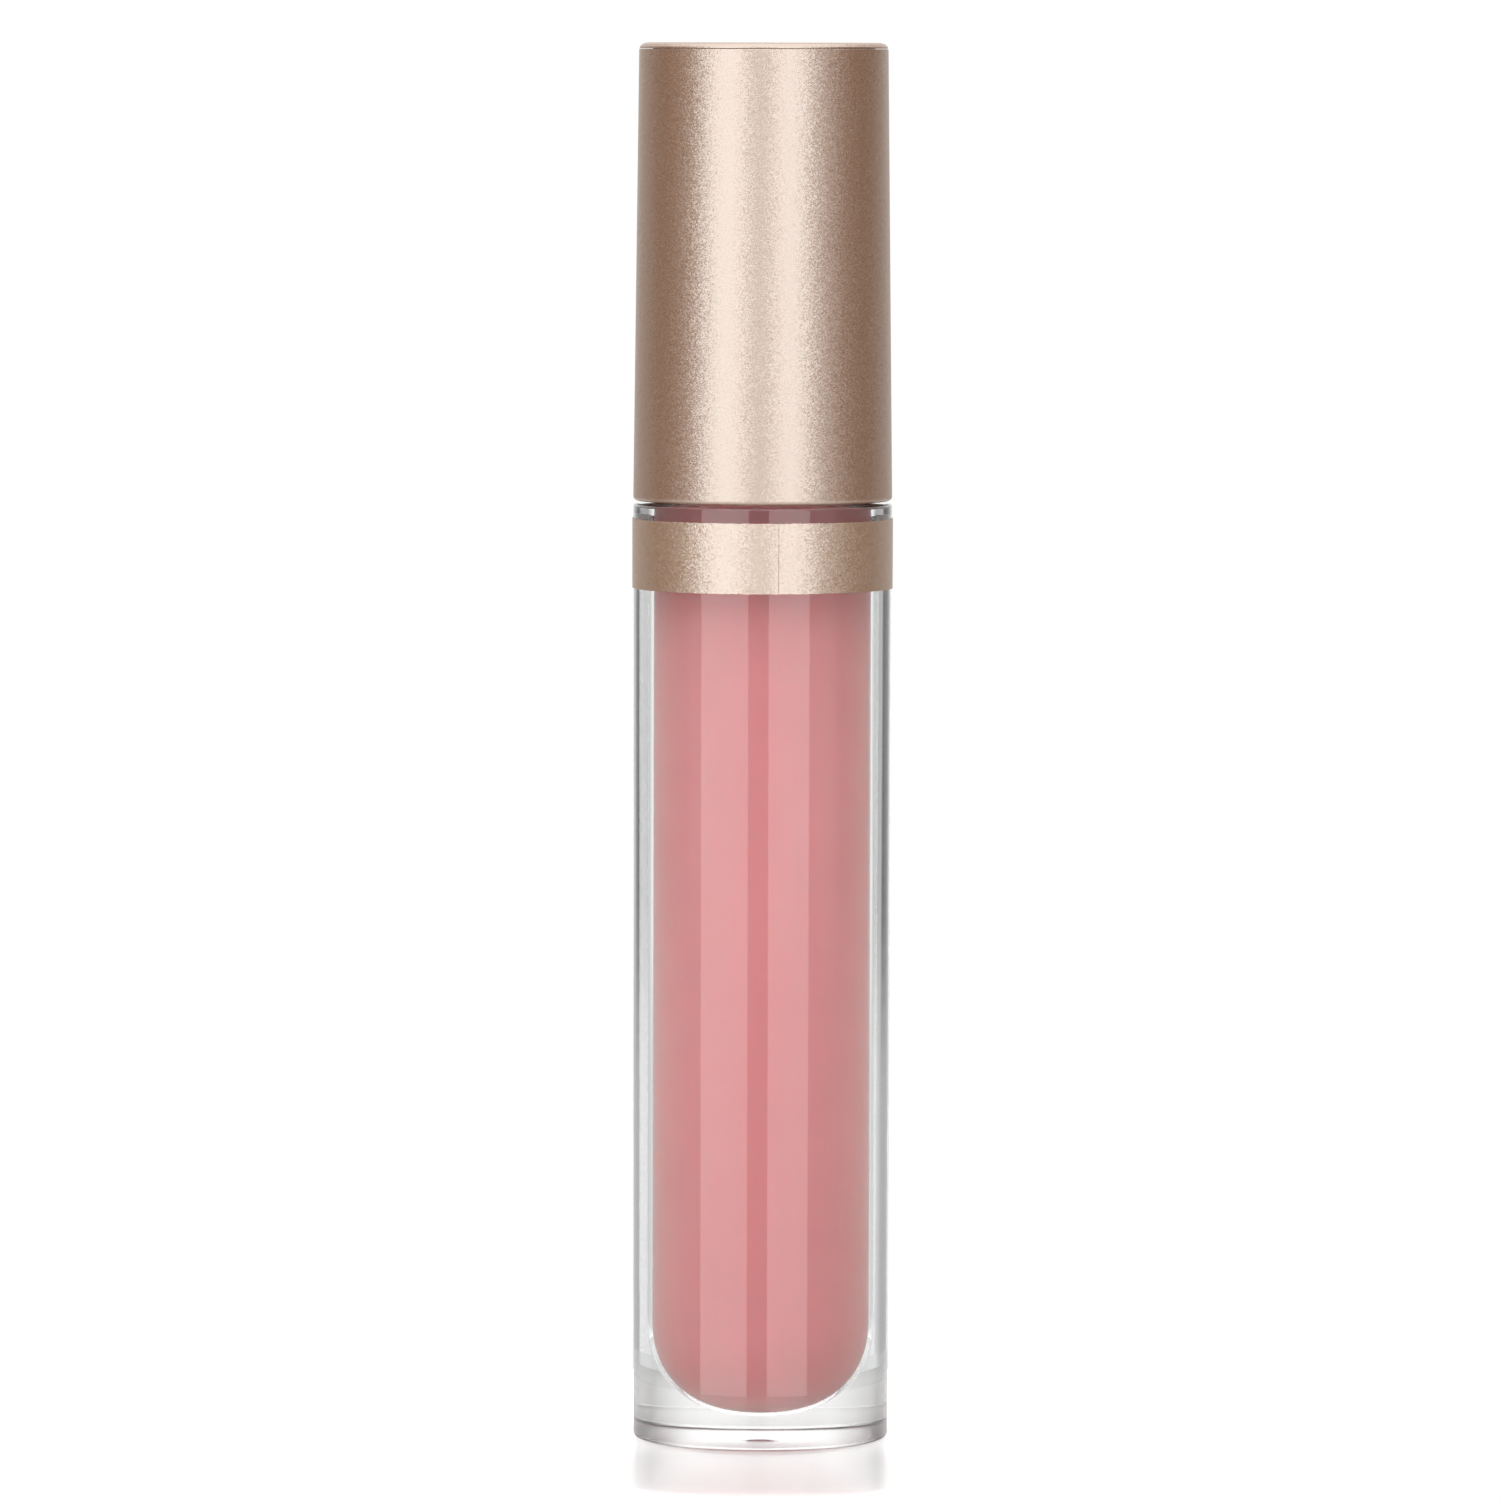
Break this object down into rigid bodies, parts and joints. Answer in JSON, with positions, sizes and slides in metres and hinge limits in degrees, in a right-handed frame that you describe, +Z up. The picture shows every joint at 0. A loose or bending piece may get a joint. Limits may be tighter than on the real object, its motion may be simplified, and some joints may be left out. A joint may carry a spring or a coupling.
{
  "type": "lip gloss tube",
  "caption": "Slim cylindrical lip gloss tube: thick clear bottle with domed cavity, foil band and pink fill, closed by a tall screw cap that carries a doe-foot wand",
  "frame": {"origin": "centre of the flat base, where the bottle stands", "axes": "+Z up along the tube's axis towards the cap; -Y is the front, where the band's seam is; +X to the right of the front"},
  "size_m": [0.0194, 0.0194, 0.1043],
  "materials": {
    "clear_bottle": "clear polished",
    "champagne_foil": "satin metallised film",
    "pink_gloss": "creamy liquid",
    "wiper_plastic": "natural translucent",
    "champagne_cap": "satin metallic lacquer on moulded plastic",
    "champagne_disc": "satin metallic lacquer on moulded plastic",
    "liner_plastic": "moulded natural",
    "rod_plastic": "moulded white",
    "tip_plastic": "moulded white",
    "flocking": "short fibre flock"
  },
  "bodies": {
    "bottle": {"bottle": "clear_bottle", "shoulder_band": "champagne_foil", "gloss_fill": "pink_gloss", "wiper": "wiper_plastic"},
    "wand": {"applicator_rod": "rod_plastic"},
    "cap": {"cap_shell": "champagne_cap", "cap_top_disc": "champagne_disc", "inner_cap": "liner_plastic", "applicator_tip": "tip_plastic", "tip_flocking": "flocking"}
  },
  "joints": [
    {"name": "cap_lift", "type": "slide", "parent": "bottle", "child": "wand", "axis": [0, 0, 1], "range_m": [0, 0.0841], "deforming": ["wiper", "gloss_fill"]},
    {"name": "cap_turn", "type": "hinge", "parent": "wand", "child": "cap", "pos_m": [0, 0, 0.08], "axis": [0, 0, 1], "range_deg": [0, 5040]}
  ],
  "couplings": [
    {"joint": "cap_lift", "follows": "cap_turn", "m_per_rad": 0.00095493}
  ]
}
